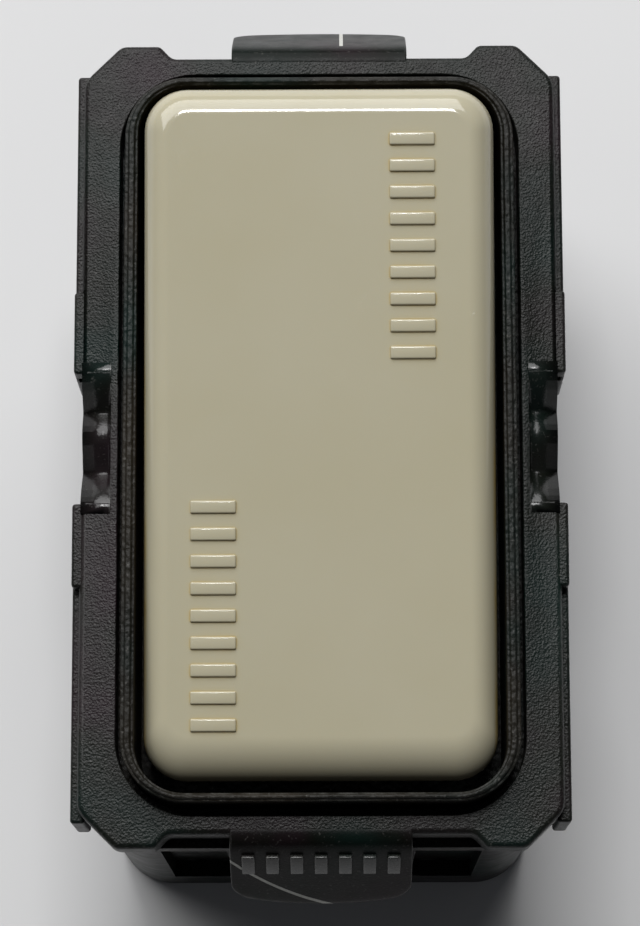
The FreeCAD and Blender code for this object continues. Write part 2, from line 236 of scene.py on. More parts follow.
    surface = nodes.new("ShaderNodeBsdfPrincipled")
    surface.label = "glossy ivory urea"
    surface.location = (250, 200)
    surface.inputs["IOR"].default_value = 1.5
    surface.inputs["Subsurface Weight"].default_value = 0.06
    surface.inputs["Subsurface Radius"].default_value = (1.0, 0.7, 0.4)
    surface.inputs["Subsurface Scale"].default_value = 0.8 * mm
    output = nodes.new("ShaderNodeOutputMaterial")
    output.location = (550, 200)
    links.new(speckMix.outputs["Result"], surface.inputs["Base Color"])
    links.new(rubRange.outputs["Result"], surface.inputs["Roughness"])
    links.new(scratchBump.outputs["Normal"], surface.inputs["Normal"])
    links.new(surface.outputs["BSDF"], output.inputs["Surface"])
    return material


def mouldedBlack(name, look):
    material, nodes, links = emptyMaterial(name)

    place = nodes.new("NodeFrame")
    place.label = "place in millimetres"
    coords = nodes.new("ShaderNodeTexCoord")
    coords.label = "moulding's own coordinates"
    coords.location = (-1700, 200)
    coords.parent = place
    inMillimetres = nodes.new("ShaderNodeMapping")
    inMillimetres.label = "one unit is a millimetre"
    inMillimetres.location = (-1500, 200)
    inMillimetres.inputs["Scale"].default_value = (1000, 1000, 1000)
    inMillimetres.parent = place
    links.new(coords.outputs["Object"], inMillimetres.inputs["Vector"])

    crinkle = nodes.new("NodeFrame")
    crinkle.label = "crinkled mould grain"
    grainNoise = nodes.new("ShaderNodeTexNoise")
    grainNoise.label = "soft lumps"
    grainNoise.location = (-1200, -400)
    grainNoise.inputs["Scale"].default_value = look["grainScale"]
    grainNoise.inputs["Detail"].default_value = 4
    grainNoise.inputs["Roughness"].default_value = 0.6
    grainNoise.parent = crinkle
    grainCells = nodes.new("ShaderNodeTexVoronoi")
    grainCells.label = "flat islands"
    grainCells.feature = "SMOOTH_F1"
    grainCells.location = (-1200, -650)
    grainCells.inputs["Scale"].default_value = look["grainScale"] * 1.3
    grainCells.parent = crinkle
    grainSum = nodes.new("ShaderNodeMath")
    grainSum.label = "lumps and islands"
    grainSum.operation = "ADD"
    grainSum.location = (-950, -500)
    grainSum.parent = crinkle
    grainBump = nodes.new("ShaderNodeBump")
    grainBump.label = "grain height"
    grainBump.location = (-700, -500)
    grainBump.inputs["Strength"].default_value = look["grainStrength"]
    grainBump.inputs["Distance"].default_value = look["grainDepth"]
    grainBump.parent = crinkle
    links.new(inMillimetres.outputs["Vector"], grainNoise.inputs["Vector"])
    links.new(inMillimetres.outputs["Vector"], grainCells.inputs["Vector"])
    links.new(grainNoise.outputs["Fac"], grainSum.inputs[0])
    links.new(grainCells.outputs["Distance"], grainSum.inputs[1])
    links.new(grainSum.outputs["Value"], grainBump.inputs["Height"])

    # painted sheen: the slow tint drift has plum and bottle-green stops that paint into the base colour the
    # rainbow sheen the crinkled surface shows in reflected light
    tintAndPaintedSheen = nodes.new("NodeFrame")
    tintAndPaintedSheen.label = "oily tint and dull patches"
    tintNoise = nodes.new("ShaderNodeTexNoise")
    tintNoise.label = "slow drift of tint"
    tintNoise.location = (-1200, 500)
    tintNoise.inputs["Scale"].default_value = 0.16
    tintNoise.inputs["Detail"].default_value = 3
    tintNoise.parent = tintAndPaintedSheen
    tintAndSheenColors = nodes.new("ShaderNodeValToRGB")
    tintAndSheenColors.label = "charcoal, plum, bottle green"
    tintAndSheenColors.location = (-980, 500)
    setStops(tintAndSheenColors, (0.3, look["coolTintAndSheen"]), (0.75, look["warmTintAndSheen"]))
    middle = tintAndSheenColors.color_ramp.elements.new(0.5)
    middle.color = look["baseColor"]
    tintAndSheenColors.parent = tintAndPaintedSheen
    links.new(inMillimetres.outputs["Vector"], tintNoise.inputs["Vector"])
    links.new(tintNoise.outputs["Fac"], tintAndSheenColors.inputs["Fac"])

    wear = nodes.new("NodeFrame")
    wear.label = "rubbed corners"
    roundNormal = nodes.new("ShaderNodeBevel")
    roundNormal.label = "normal if corners were round"
    roundNormal.samples = 6
    roundNormal.location = (-1200, 200)
    roundNormal.inputs["Radius"].default_value = look["wearRadius"]
    roundNormal.parent = wear
    trueNormal = nodes.new("ShaderNodeNewGeometry")
    trueNormal.label = "normal as made"
    trueNormal.location = (-1200, 50)
    trueNormal.parent = wear
    cornerDot = nodes.new("ShaderNodeVectorMath")
    cornerDot.label = "how much they differ"
    cornerDot.operation = "DOT_PRODUCT"
    cornerDot.location = (-980, 150)
    cornerDot.parent = wear
    cornerRamp = nodes.new("ShaderNodeValToRGB")
    cornerRamp.label = "corner mask"
    cornerRamp.location = (-780, 150)
    setStops(cornerRamp, (0.8, white), (0.985, black))
    cornerRamp.parent = wear
    rubNoise = nodes.new("ShaderNodeTexNoise")
    rubNoise.label = "rubbing breaks up"
    rubNoise.location = (-1200, -150)
    rubNoise.inputs["Scale"].default_value = 1.1
    rubNoise.inputs["Detail"].default_value = 6
    rubNoise.parent = wear
    rubRamp = nodes.new("ShaderNodeValToRGB")
    rubRamp.label = "rubbed spots"
    rubRamp.location = (-980, -150)
    setStops(rubRamp, (look["wearPatches"][0], black), (look["wearPatches"][1], white))
    rubRamp.parent = wear
    wearAmount = nodes.new("ShaderNodeMath")
    wearAmount.label = "wear amount"
    wearAmount.operation = "MULTIPLY"
    wearAmount.location = (-500, 100)
    wearAmount.parent = wear
    wearMix = nodes.new("ShaderNodeMix")
    wearMix.label = "pale rubbed plastic"
    wearMix.data_type = "RGBA"
    wearMix.location = (-250, 350)
    wearMix.inputs["B"].default_value = look["wornColor"]
    wearMix.parent = wear
    links.new(roundNormal.outputs["Normal"], cornerDot.inputs[0])
    links.new(trueNormal.outputs["Normal"], cornerDot.inputs[1])
    links.new(cornerDot.outputs["Value"], cornerRamp.inputs["Fac"])
    links.new(inMillimetres.outputs["Vector"], rubNoise.inputs["Vector"])
    links.new(rubNoise.outputs["Fac"], rubRamp.inputs["Fac"])
    links.new(cornerRamp.outputs["Color"], wearAmount.inputs[0])
    links.new(rubRamp.outputs["Color"], wearAmount.inputs[1])
    links.new(wearAmount.outputs["Value"], wearMix.inputs["Factor"])
    links.new(tintAndSheenColors.outputs["Color"], wearMix.inputs["A"])

    dust = nodes.new("NodeFrame")
    dust.label = "dust in the grain"
    dustNoise = nodes.new("ShaderNodeTexNoise")
    dustNoise.label = "dust flecks"
    dustNoise.location = (-700, -150)
    dustNoise.inputs["Scale"].default_value = 5.5
    dustNoise.inputs["Detail"].default_value = 3
    dustNoise.parent = dust
    dustRamp = nodes.new("ShaderNodeValToRGB")
    dustRamp.label = "only the densest flecks"
    dustRamp.location = (-500, -150)
    setStops(dustRamp, (0.62, black), (0.8, (look["dustAmount"],) * 3 + (1,)))
    dustRamp.parent = dust
    dustMix = nodes.new("ShaderNodeMix")
    dustMix.label = "dust over plastic"
    dustMix.data_type = "RGBA"
    dustMix.location = (-30, 250)
    dustMix.inputs["B"].default_value = (0.3, 0.29, 0.27, 1)
    dustMix.parent = dust
    links.new(inMillimetres.outputs["Vector"], dustNoise.inputs["Vector"])
    links.new(dustNoise.outputs["Fac"], dustRamp.inputs["Fac"])
    links.new(dustRamp.outputs["Color"], dustMix.inputs["Factor"])
    links.new(wearMix.outputs["Result"], dustMix.inputs["A"])

    finalColor = dustMix.outputs["Result"]
    if "scratchCentre" in look:
        scuffs = nodes.new("NodeFrame")
        scuffs.label = "arc scratch on the lower tongue, nick in the upper one"
        axes = nodes.new("ShaderNodeSeparateXYZ")
        axes.label = "position"
        axes.location = (-1200, 1000)
        axes.parent = scuffs
        flatPlace = nodes.new("ShaderNodeCombineXYZ")
        flatPlace.label = "seen from the front"
        flatPlace.location = (-1000, 1050)
        flatPlace.parent = scuffs
        fromCentre = nodes.new("ShaderNodeVectorMath")
        fromCentre.label = "distance from the arc's centre"
        fromCentre.operation = "DISTANCE"
        fromCentre.location = (-800, 1050)
        fromCentre.inputs[1].default_value = look["scratchCentre"]
        fromCentre.parent = scuffs
        onArc = nodes.new("ShaderNodeMath")
        onArc.label = "on the arc"
        onArc.operation = "COMPARE"
        onArc.location = (-600, 1050)
        onArc.inputs[1].default_value = look["scratchRadius"]
        onArc.inputs[2].default_value = look["scratchWidth"]
        onArc.parent = scuffs
        onLower = nodes.new("ShaderNodeMath")
        onLower.label = "lower tongue only"
        onLower.operation = "LESS_THAN"
        onLower.location = (-600, 880)
        onLower.inputs[1].default_value = -look["tongueStart"]
        onLower.parent = scuffs
        scratch = nodes.new("ShaderNodeMath")
        scratch.label = "scratch"
        scratch.operation = "MULTIPLY"
        scratch.location = (-400, 1000)
        scratch.parent = scuffs
        atNick = nodes.new("ShaderNodeMath")
        atNick.label = "at the nick"
        atNick.operation = "COMPARE"
        atNick.location = (-600, 720)
        atNick.inputs[1].default_value = look["nickX"]
        atNick.inputs[2].default_value = look["nickWidth"]
        atNick.parent = scuffs
        onUpper = nodes.new("ShaderNodeMath")
        onUpper.label = "upper tongue only"
        onUpper.operation = "GREATER_THAN"
        onUpper.location = (-600, 560)
        onUpper.inputs[1].default_value = look["tongueStart"] + 0.5
        onUpper.parent = scuffs
        nick = nodes.new("ShaderNodeMath")
        nick.label = "nick"
        nick.operation = "MULTIPLY"
        nick.location = (-400, 700)
        nick.parent = scuffs
        either = nodes.new("ShaderNodeMath")
        either.label = "either mark"
        either.operation = "MAXIMUM"
        either.location = (-200, 850)
        either.parent = scuffs
        scuffMix = nodes.new("ShaderNodeMix")
        scuffMix.label = "bare pale plastic"
        scuffMix.data_type = "RGBA"
        scuffMix.location = (0, 600)
        scuffMix.inputs["B"].default_value = look["scuffColor"]
        scuffMix.parent = scuffs
        links.new(inMillimetres.outputs["Vector"], axes.inputs["Vector"])
        links.new(axes.outputs["X"], flatPlace.inputs["X"])
        links.new(axes.outputs["Y"], flatPlace.inputs["Y"])
        links.new(flatPlace.outputs["Vector"], fromCentre.inputs[0])
        links.new(fromCentre.outputs["Value"], onArc.inputs[0])
        links.new(axes.outputs["Y"], onLower.inputs[0])
        links.new(onArc.outputs["Value"], scratch.inputs[0])
        links.new(onLower.outputs["Value"], scratch.inputs[1])
        links.new(axes.outputs["X"], atNick.inputs[0])
        links.new(axes.outputs["Y"], onUpper.inputs[0])
        links.new(atNick.outputs["Value"], nick.inputs[0])
        links.new(onUpper.outputs["Value"], nick.inputs[1])
        links.new(scratch.outputs["Value"], either.inputs[0])
        links.new(nick.outputs["Value"], either.inputs[1])
        links.new(either.outputs["Value"], scuffMix.inputs["Factor"])
        links.new(finalColor, scuffMix.inputs["A"])
        finalColor = scuffMix.outputs["Result"]

    gloss = nodes.new("NodeFrame")
    gloss.label = "uneven gloss"
    glossRange = nodes.new("ShaderNodeMapRange")
    glossRange.label = "gloss range"
    glossRange.location = (-250, -50)
    glossRange.inputs["To Min"].default_value = look["roughness"] - 0.1
    glossRange.inputs["To Max"].default_value = look["roughness"] + 0.12
    glossRange.parent = gloss
    links.new(rubNoise.outputs["Fac"], glossRange.inputs["Value"])

    surface = nodes.new("ShaderNodeBsdfPrincipled")
    surface.label = "black moulded plastic"
    surface.location = (250, 150)
    surface.inputs["IOR"].default_value = 1.5
    surface.inputs["Specular IOR Level"].default_value = look["specular"]
    output = nodes.new("ShaderNodeOutputMaterial")
    output.location = (550, 150)
    links.new(finalColor, surface.inputs["Base Color"])
    links.new(glossRange.outputs["Result"], surface.inputs["Roughness"])
    links.new(grainBump.outputs["Normal"], surface.inputs["Normal"])
    links.new(surface.outputs["BSDF"], output.inputs["Surface"])
    return material


def workedMetal(name, look):
    material, nodes, links = emptyMaterial(name)

    place = nodes.new("NodeFrame")
    place.label = "place in millimetres"
    coords = nodes.new("ShaderNodeTexCoord")
    coords.label = "part's own coordinates"
    coords.location = (-1300, 100)
    coords.parent = place
    inMillimetres = nodes.new("ShaderNodeMapping")
    inMillimetres.label = "grain drawn out along one way"
    inMillimetres.location = (-1100, 100)
    inMillimetres.inputs["Scale"].default_value = look["grainStretch"]
    inMillimetres.parent = place
    links.new(coords.outputs["Object"], inMillimetres.inputs["Vector"])

    tarnish = nodes.new("NodeFrame")
    tarnish.label = "tarnish"
    tarnishNoise = nodes.new("ShaderNodeTexNoise")
    tarnishNoise.label = "clouds of tarnish"
    tarnishNoise.location = (-850, 300)
    tarnishNoise.inputs["Scale"].default_value = 0.6
    tarnishNoise.inputs["Detail"].default_value = 5
    tarnishNoise.parent = tarnish
    tarnishColors = nodes.new("ShaderNodeValToRGB")
    tarnishColors.label = "bright to tarnished"
    tarnishColors.location = (-600, 300)
    setStops(tarnishColors, (0.35, look["brightColor"]), (0.8, look["dullColor"]))
    tarnishColors.parent = tarnish
    links.new(inMillimetres.outputs["Vector"], tarnishNoise.inputs["Vector"])
    links.new(tarnishNoise.outputs["Fac"], tarnishColors.inputs["Fac"])

    working = nodes.new("NodeFrame")
    working.label = "drawn and stamped surface"
    grainNoise = nodes.new("ShaderNodeTexNoise")
    grainNoise.label = "tool lines"
    grainNoise.location = (-850, -50)
    grainNoise.inputs["Scale"].default_value = 4
    grainNoise.inputs["Detail"].default_value = 3
    grainNoise.parent = working
    roughRange = nodes.new("ShaderNodeMapRange")
    roughRange.label = "gloss range"
    roughRange.location = (-600, 0)
    roughRange.inputs["To Min"].default_value = look["roughness"] - 0.08
    roughRange.inputs["To Max"].default_value = look["roughness"] + 0.12
    roughRange.parent = working
    grainBump = nodes.new("ShaderNodeBump")
    grainBump.label = "line depth"
    grainBump.location = (-600, -250)
    grainBump.inputs["Strength"].default_value = 0.3
    grainBump.inputs["Distance"].default_value = 0.01 * mm
    grainBump.parent = working
    links.new(inMillimetres.outputs["Vector"], grainNoise.inputs["Vector"])
    links.new(grainNoise.outputs["Fac"], roughRange.inputs["Value"])
    links.new(grainNoise.outputs["Fac"], grainBump.inputs["Height"])

    surface = nodes.new("ShaderNodeBsdfPrincipled")
    surface.label = "metal"
    surface.location = (-250, 150)
    surface.inputs["Metallic"].default_value = 1
    output = nodes.new("ShaderNodeOutputMaterial")
    output.location = (50, 150)
    links.new(tarnishColors.outputs["Color"], surface.inputs["Base Color"])
    links.new(roughRange.outputs["Result"], surface.inputs["Roughness"])
    links.new(grainBump.outputs["Normal"], surface.inputs["Normal"])
    links.new(surface.outputs["BSDF"], output.inputs["Surface"])
    return material


def plainMoulding(name, look):
    material, nodes, links = emptyMaterial(name)

    coords = nodes.new("ShaderNodeTexCoord")
    coords.label = "part's own coordinates"
    coords.location = (-1100, 100)
    inMillimetres = nodes.new("ShaderNodeMapping")
    inMillimetres.label = "one unit is a millimetre"
    inMillimetres.location = (-900, 100)
    inMillimetres.inputs["Scale"].default_value = (1000, 1000, 1000)
    links.new(coords.outputs["Object"], inMillimetres.inputs["Vector"])

    body = nodes.new("NodeFrame")
    body.label = "filler and flow marks"
    flowNoise = nodes.new("ShaderNodeTexNoise")
    flowNoise.label = "flow marks"
    flowNoise.location = (-650, 250)
    flowNoise.inputs["Scale"].default_value = look["flowScale"]
    flowNoise.inputs["Detail"].default_value = 6
    flowNoise.parent = body
    flowColors = nodes.new("ShaderNodeValToRGB")
    flowColors.label = "light and dark filler"
    flowColors.location = (-420, 250)
    setStops(flowColors, (0.3, look["darkColor"]), (0.7, look["lightColor"]))
    flowColors.parent = body
    flowBump = nodes.new("ShaderNodeBump")
    flowBump.label = "faint relief"
    flowBump.location = (-420, -50)
    flowBump.inputs["Strength"].default_value = 0.3
    flowBump.inputs["Distance"].default_value = 0.02 * mm
    flowBump.parent = body
    links.new(inMillimetres.outputs["Vector"], flowNoise.inputs["Vector"])
    links.new(flowNoise.outputs["Fac"], flowColors.inputs["Fac"])
    links.new(flowNoise.outputs["Fac"], flowBump.inputs["Height"])

    surface = nodes.new("ShaderNodeBsdfPrincipled")
    surface.label = "plastic"
    surface.location = (-100, 150)
    surface.inputs["Roughness"].default_value = look["roughness"]
    output = nodes.new("ShaderNodeOutputMaterial")
    output.location = (200, 150)
    links.new(flowColors.outputs["Color"], surface.inputs["Base Color"])
    links.new(flowBump.outputs["Normal"], surface.inputs["Normal"])
    links.new(surface.outputs["BSDF"], output.inputs["Surface"])
    return material


ivoryLook = {
    "freshColor": (0.366, 0.34, 0.25, 1),
    "agedColor": (0.348, 0.32, 0.223, 1),
    # colour and reach of the painted shade and stain in inner corners
    "paintedShadeAndStainColor": (0.36, 0.27, 0.1, 1),
    "paintedShadeAndStainReach": 0.6 * mm,
    "speckColor": (0.08, 0.07, 0.06, 1),
    "speckScale": 0.11,
    "speckSize": 0.008,
    "roughness": 0.09,
}
frameLook = {
    "baseColor": (0.0052, 0.006, 0.0044, 1),
    # the cool and warm stops carry the painted plum and green sheen as well as the tint
    "coolTintAndSheen": (0.003, 0.0085, 0.007, 1),
    "warmTintAndSheen": (0.0125, 0.006, 0.009, 1),
    "wornColor": (0.12, 0.12, 0.115, 1),
    "grainScale": 8.0,
    "grainStrength": 0.85,
    "grainDepth": 0.03 * mm,
    "wearRadius": 0.16 * mm,
    "wearPatches": (0.42, 0.6),
    "dustAmount": 0.16,
    "roughness": 0.37,
    "specular": 0.19,
}
smoothLook = dict(
    frameLook,
    baseColor=(0.0038, 0.0042, 0.0032, 1),
    grainStrength=0.2,
    roughness=0.34,
    specular=0.07,
    scratchCentre=(3.1, -7.6, 0),
    scratchRadius=14.8,
    scratchWidth=0.05,
    tongueStart=19.6,
    nickX=1.1,
    nickWidth=0.09,
    scuffColor=(0.42, 0.42, 0.39, 1),
)
glossLook = dict(frameLook, grainStrength=0.2, roughness=0.24, specular=0.42)
collarLook = dict(
    frameLook,
    baseColor=(0.0062, 0.0058, 0.0042, 1),
    warmTintAndSheen=(0.014, 0.011, 0.007, 1),
    grainStrength=0.9,
    grainScale=3.2,
    grainDepth=0.05 * mm,
    wearPatches=(0.45, 0.6),
    wornColor=(0.085, 0.083, 0.075, 1),
    wearRadius=0.12 * mm,
    roughness=0.42,
    specular=0.14,
    dustAmount=0.22,
)
housingLook = dict(
    frameLook,
    baseColor=(0.0045, 0.0048, 0.004, 1),
    grainStrength=0.3,
    grainScale=2.5,
    roughness=0.36,
    specular=0.07,
    dustAmount=0.05,
)

ivory = ivoryPlastic("agedIvory", ivoryLook)
frameBlack = mouldedBlack("crinkledBlack", frameLook)
smoothBlack = mouldedBlack("smoothBlack", smoothLook)
glossBlack = mouldedBlack("glossBlack", glossLook)
collarBlack = mouldedBlack("collarBlack", collarLook)
housingBlack = mouldedBlack("housingBlack", housingLook)
nylonWhite = plainMoulding(
    "naturalNylon",
    {
        "flowScale": 0.5,
        "darkColor": (0.62, 0.6, 0.52, 1),
        "lightColor": (0.74, 0.72, 0.66, 1),
        "roughness": 0.42,
    },
)
fibreBoard = plainMoulding(
    "pressedFibre",
    {
        "flowScale": 3.5,
        "darkColor": (0.24, 0.2, 0.15, 1),
        "lightColor": (0.42, 0.37, 0.3, 1),
        "roughness": 0.8,
    },
)
stampedBrass = workedMetal(
    "stampedBrass",
    {
        "grainStretch": (1000, 250, 1000),
        "brightColor": (0.78, 0.58, 0.26, 1),
        "dullColor": (0.5, 0.34, 0.15, 1),
        "roughness": 0.32,
    },
)
zincSteel = workedMetal(
    "zincPlatedSteel",
    {
        "grainStretch": (1000, 1000, 1000),
        "brightColor": (0.66, 0.66, 0.62, 1),
        "dullColor": (0.4, 0.39, 0.35, 1),
        "roughness": 0.34,
    },
)
drawnSteel = workedMetal(
    "drawnSteel",
    {
        "grainStretch": (250, 1000, 1000),
        "brightColor": (0.6, 0.6, 0.6, 1),
        "dullColor": (0.36, 0.35, 0.34, 1),
        "roughness": 0.28,
    },
)
silverAlloy = workedMetal(
    "silverAlloy",
    {
        "grainStretch": (1000, 1000, 1000),
        "brightColor": (0.86, 0.85, 0.82, 1),
        "dullColor": (0.55, 0.52, 0.46, 1),
        "roughness": 0.3,
    },
)
finishOfSlot = {
    "black_frame": frameBlack,
    "black_collar": collarBlack,
    "black_housing": housingBlack,
    "rivet_steel": zincSteel,
    "ivory_cap": ivory,
    "nylon": nylonWhite,
    "axle_steel": drawnSteel,
    "spring_steel": drawnSteel,
    "brass": stampedBrass,
    "silver_contact": silverAlloy,
    "plated_steel": zincSteel,
    "fibre": fibreBoard,
}
for subpart in frame["record"]["subparts"]:
    node = frame["nodes"][subpart["node"]]
    node.data.materials.clear()
    node.data.materials.append(finishOfSlot[subpart["material_slot"]])
print("materials made")


def roundedLoop(halfX, halfY, radius, z, steps):
    points = []
    for signX, signY, turn in ((1, 1, 0), (-1, 1, 90), (-1, -1, 180), (1, -1, 270)):
        for step in range(steps + 1):
            angle = math.radians(turn + 90 * step / steps)
            x = signX * (halfX - radius) + radius * math.cos(angle)
            y = signY * (halfY - radius) + radius * math.sin(angle)
            points.append(Vector((x, y, z)))
    return points


def addLoops(cage, loops, wrap=False, capFirst=False, capLast=False):
    rings = [[cage.verts.new(point) for point in loop] for loop in loops]
    pairs = list(zip(rings, rings[1:]))
    if wrap:
        pairs.append((rings[-1], rings[0]))
    for low, high in pairs:
        for i in range(len(low)):
            j = (i + 1) % len(low)
            cage.faces.new((low[i], low[j], high[j], high[i]))
    if capFirst:
        cage.faces.new(list(reversed(rings[0])))
    if capLast:
        cage.faces.new(rings[-1])


def addProfileAlongX(cage, profile, x0, x1):
    loops = [[Vector((x, y, z)) for y, z in profile] for x in (x0, x1)]
    addLoops(cage, loops, capFirst=True, capLast=True)


def addBox(cage, low, high):
    profile = [(low.y, low.z), (high.y, low.z), (high.y, high.z), (low.y, high.z)]
    addProfileAlongX(cage, profile, low.x, high.x)


def addBoredLug(cage, ends, halfWidth, zLow, zHigh, bore):
    # a block with a round hole for the axle, bridged ray by ray from the hole to the outline
    rayCount, firstTurn = 24, 0.01 - math.pi
    corners = [math.atan2(z - pivot.z, side * halfWidth) for side in (-1, 1) for z in (zLow, zHigh)]
    turns = [firstTurn + 2 * math.pi * i / rayCount for i in range(rayCount)]
    outline, hole = [], []
    for turn in sorted(turns + corners):
        alongY, alongZ = math.cos(turn), math.sin(turn)
        reachY = halfWidth / max(abs(alongY), tiny)
        reachZ = (zHigh - pivot.z if alongZ > 0 else pivot.z - zLow) / max(abs(alongZ), tiny)
        reach = min(reachY, reachZ)
        outline.append((pivot.y + reach * alongY, pivot.z + reach * alongZ))
        hole.append((pivot.y + bore * alongY, pivot.z + bore * alongZ))
    start, end = ends
    around = ((start, outline), (end, outline), (end, hole), (start, hole))
    addLoops(cage, [[Vector((x, y, z)) for y, z in ring] for x, ring in around], wrap=True)


def makePiece(name, cage, body, material, transform=None):
    bmesh.ops.recalc_face_normals(cage, faces=cage.faces)
    mesh = bpy.data.meshes.new(name)
    cage.to_mesh(mesh)
    cage.free()
    if transform:
        mesh.transform(transform)
    for face in mesh.polygons:
        face.use_smooth = True
    mesh.materials.append(material)
    piece = bpy.data.objects.new(name, mesh)
    bpy.context.scene.collection.objects.link(piece)
    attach(piece, body)
    return piece


def easeEdges(piece, width, segments):
    bevel = piece.modifiers.new("softEdges", "BEVEL")
    bevel.width = width
    bevel.segments = segments
    return bevel


def evenOutShading(piece, weight, keepSharp=False):
    evenShading = piece.modifiers.new("evenShading", "WEIGHTED_NORMAL")
    evenShading.weight = weight
    evenShading.keep_sharp = keepSharp


def softenEdges(piece, width, segments, angle):
    bevel = easeEdges(piece, width, segments)
    bevel.limit_method = "ANGLE"
    bevel.angle_limit = math.radians(angle)
    bevel.miter_outer = "MITER_ARC"
    bevel.use_clamp_overlap = False
    evenOutShading(piece, 90, keepSharp=True)


def repeatInRow(piece, count, step):
    row = piece.modifiers.new("row", "ARRAY")
    row.count = count
    row.use_relative_offset = False
    row.use_constant_offset = True
    row.constant_offset_displace = step


def smoothCage(piece, levels):
    smooth = piece.modifiers.new("smooth", "SUBSURF")
    smooth.levels = levels
    smooth.render_levels = levels


def roundCorners(points, radii, steps):
    # an open outline whose inner points are replaced by arcs
    outline = [points[0]]
    for before, corner, after, radius in zip(points, points[1:], points[2:], radii):
        corner = Vector(corner)
        back, ahead = (Vector(before) - corner).normalized(), (Vector(after) - corner).normalized()
        half = back.angle(ahead) / 2
        reach = radius / math.tan(half)
        for step in range(steps + 1):
            share = step / steps
            start, end = corner + back * reach, corner + ahead * reach
            outline.append(start * (1 - share) ** 2 + corner * 2 * share * (1 - share) + end * share ** 2)
    return [tuple(point) for point in outline] + [points[-1]]


# rocker cap, built level and then tipped to its rest tilt
capLook = {
    "halfLength": 16.8 * mm,
    "centreY": 0.25 * mm,
    "corner": 2.1 * mm,
    "faceCorner": 1.0 * mm,
    "skirtDrop": 2.0 * mm,
    "faceRise": 3.1 * mm,
    "sideRound": 1.3 * mm,
    "endRound": 1.8 * mm,
    "endRoundBias": 0.3 * mm,
    "roundDrop": 1.7 * mm,
    "roundSteps": 9,
    "cornerSteps": 10,
    "wall": 1.15 * mm,
    "tilt": 5.75,
    "ribInner": 3.6 * mm,
    "ribOuter": 5.3 * mm,
    "ribHalfWidth": 2.2 * mm,
    "ribDrop": 1.7 * mm,
    "ribTopGap": 1.2 * mm,
    "ribBore": 0.95 * mm,
}
tilt = Matrix.Rotation(math.radians(capLook["tilt"]), 4, "X")
tipUp = Matrix.Translation(pivot) @ tilt @ Matrix.Translation(-pivot)
capHalfWidth = capHigh.x
capFace = pivot.z + capLook["faceRise"]


def makeRockerCap():
    shell = bmesh.new()
    steps = capLook["cornerSteps"]
    skirt = pivot.z - capLook["skirtDrop"]
    loops = [roundedLoop(capHalfWidth, capLook["halfLength"], capLook["corner"], skirt, steps)]
    for step in range(capLook["roundSteps"] + 1):
        turn = math.radians(90 * step / capLook["roundSteps"])
        inward, upward = 1 - math.cos(turn), math.sin(turn)
        corner = capLook["corner"] + (capLook["faceCorner"] - capLook["corner"]) * inward
        loop = roundedLoop(
            capHalfWidth - capLook["sideRound"] * inward,
            capLook["halfLength"] - capLook["endRound"] * inward,
            corner,
            capFace - capLook["roundDrop"] * (1 - upward),
            steps,
        )
        for point in loop:
            point.y += capLook["endRoundBias"] * inward
        loops.append(loop)
    for point in [point for loop in loops for point in loop]:
        point.y += capLook["centreY"]
    addLoops(shell, loops, capLast=True)
    cap = makePiece("ivoryRocker", shell, "rocker", ivory, tipUp)
    wall = cap.modifiers.new("wall", "SOLIDIFY")
    wall.thickness = capLook["wall"]
    wall.offset = -1
    evenOutShading(cap, 90)
    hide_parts("rocker_cap")
    ribLow, ribHigh = pivot.z - capLook["ribDrop"], capFace - capLook["ribTopGap"]
    for side, name in ((1, "capRibRight"), (-1, "capRibLeft")):
        rib = bmesh.new()
        ends = sorted((side * capLook["ribInner"], side * capLook["ribOuter"]))
        addBoredLug(rib, ends, capLook["ribHalfWidth"], ribLow, ribHigh, capLook["ribBore"])
        makePiece(name, rib, "rocker", ivory, tipUp)


# plain raised ribs stand where the rocker carries its moulded marks
markLook = {
    "count": 9,
    "pitch": 1.3 * mm,
    "length": 2.2 * mm,
    "width": 0.62 * mm,
    "height": 0.12 * mm,
    "sunk": 0.2 * mm,
    "softness": 0.09 * mm,
    "places": {"capMarksUpper": (4.5 * mm, 9.1 * mm), "capMarksLower": (-5.1 * mm, -8.7 * mm)},
}


def makeCapMarks():
    look = markLook
    half = Vector((look["length"] / 2, look["width"] / 2, 0))
    sunk, height = Vector((0, 0, look["sunk"])), Vector((0, 0, look["height"]))
    for name, (x, y) in look["places"].items():
        rib = bmesh.new()
        start = y - look["pitch"] * (look["count"] - 1) / 2
        centre = Vector((x, start, capFace))
        addBox(rib, centre - half - sunk, centre + half + height)
        marks = makePiece(name, rib, "rocker", ivory, tipUp)
        easeEdges(marks, look["softness"], 4)
        repeatInRow(marks, look["count"], tipUp.to_3x3() @ Vector((0, look["pitch"], 0)))
        evenOutShading(marks, 90)


makeRockerCap()
makeCapMarks()
print("rocker made")


# tray behind the rocker, whose collar stands up through the frame
wellLook = {
    "halfWidth": 9.5 * mm,
    "halfLength": 17.8 * mm,
    "corner": 3.0 * mm,
    "insideHalfWidth": 8.86 * mm,
    "insideHalfLength": 17.4 * mm,
    "insideCorner": 2.4 * mm,
    "rimThickness": 1.6 * mm,
    "floorThickness": 1.0 * mm,
    "slotHalfWidth": 3.7 * mm,
    "slotHalfLength": 4.6 * mm,
    "slotCorner": 0.4 * mm,
    "lipDrop": 0.14 * mm,
    "lipShares": (0.28, 0.33, 0.72, 0.78),
    "innerLipDrop": 0.112 * mm,
    "rimCorner": 3.0 * mm,
    "cornerSteps": 12,
    "softness": 0.05 * mm,
    "postInner": 5.8 * mm,
    "postOuter": 7.1 * mm,
    "postHalfWidth": 1.4 * mm,
    "postFoot": 0.5 * mm,
    "postRise": 1.3 * mm,
    "postBore": 0.91 * mm,
}


def wellLoop(inset, z):
    # inset 0 is the tray's outside, inset 1 its inside
    sizes = []
    for outside in ("halfWidth", "halfLength", "corner"):
        inside = "inside" + outside[0].upper() + outside[1:]
        sizes.append(wellLook[outside] + (wellLook[inside] - wellLook[outside]) * inset)
    return roundedLoop(*sizes, z, wellLook["cornerSteps"])


